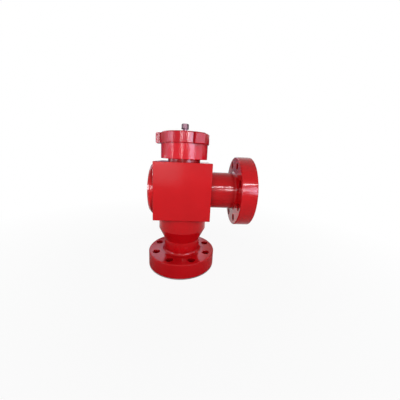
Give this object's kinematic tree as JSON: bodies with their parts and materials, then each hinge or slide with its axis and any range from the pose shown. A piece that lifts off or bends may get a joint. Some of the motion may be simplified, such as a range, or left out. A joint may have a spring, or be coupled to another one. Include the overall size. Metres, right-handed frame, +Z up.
{
  "type": "choke valve",
  "caption": "Angle-type positive choke valve: forged block body with flanged inlet and outlet, hammer-lug bonnet nut, vented blanking plug and a screwed flow bean.",
  "frame": {"origin": "centre of the outlet flange's raised face, on the outlet bore's axis, where the valve stands", "axes": "+Z up along the bonnet and outlet axis, +X out of the inlet flange along the inlet bore's axis, -Y towards the front"},
  "size_m": [0.394, 0.2698, 0.5588],
  "materials": {
    "red_paint": "gloss",
    "nut_paint": "gloss",
    "plug_steel": "machined",
    "adapter_steel": "machined",
    "bean_steel": "machined",
    "carbide": "ground",
    "sleeve_steel": "machined",
    "ring_steel": "phosphated",
    "vent_steel": "satin",
    "ball_steel": "polished",
    "spring_steel": "drawn",
    "seat_brass": "turned",
    "seal_rubber": "matt",
    "backup_plastic": "matt",
    "gasket_fibre": "matt"
  },
  "bodies": {
    "valve": {"valve_body": "red_paint", "adapter_gasket": "gasket_fibre", "bean_adapter": "adapter_steel", "outlet_sleeve": "sleeve_steel", "sleeve_seal": "seal_rubber", "sleeve_snap_ring": "ring_steel"},
    "bean_gasket": {"bean_gasket": "gasket_fibre"},
    "bean": {"flow_bean": "bean_steel", "bean_liner": "carbide"},
    "plug": {"blanking_plug": "plug_steel", "plug_seal": "seal_rubber", "lower_backup_ring": "backup_plastic", "upper_backup_ring": "backup_plastic", "plug_snap_ring": "ring_steel", "vent_body": "vent_steel", "vent_spring": "spring_steel", "spring_seat": "seat_brass"},
    "bonnet_nut": {"bonnet_nut": "nut_paint"},
    "vent_ball": {"vent_ball": "ball_steel"},
    "cap_gasket": {"cap_gasket": "gasket_fibre"},
    "vent_cap": {"vent_cap": "vent_steel"}
  },
  "joints": [
    {"name": "plug_lift", "type": "slide", "parent": "valve", "child": "plug", "axis": [0, 0, 1], "range_m": [0, 0.0413]},
    {"name": "nut_turn", "type": "hinge", "parent": "plug", "child": "bonnet_nut", "pos_m": [0, 0, 0.47], "axis": [0, 0, 1], "range_deg": [0, 2340]},
    {"name": "gasket_lift", "type": "slide", "parent": "valve", "child": "bean_gasket", "axis": [0, 0, 1], "range_m": [0, 0.0382]},
    {"name": "bean_turn", "type": "hinge", "parent": "bean_gasket", "child": "bean", "pos_m": [0, 0, 0.25], "axis": [0, 0, 1], "range_deg": [0, 4320]},
    {"name": "ball_drop", "type": "slide", "parent": "plug", "child": "vent_ball", "axis": [0, 0, -1], "range_m": [0, 0.003], "stiffness_N_per_m": 300, "springref_m": -0.006, "deforming": ["vent_spring"]},
    {"name": "washer_lift", "type": "slide", "parent": "plug", "child": "cap_gasket", "axis": [0, 0, 1], "range_m": [0, 0.0109]},
    {"name": "cap_turn", "type": "hinge", "parent": "cap_gasket", "child": "vent_cap", "pos_m": [0, 0, 0.55], "axis": [0, 0, 1], "range_deg": [0, 2160]}
  ],
  "couplings": [
    {"joint": "plug_lift", "follows": "nut_turn", "m_per_rad": 0.0010106},
    {"joint": "gasket_lift", "follows": "bean_turn", "m_per_rad": 0.00050532},
    {"joint": "washer_lift", "follows": "cap_turn", "m_per_rad": 0.00028648}
  ]
}
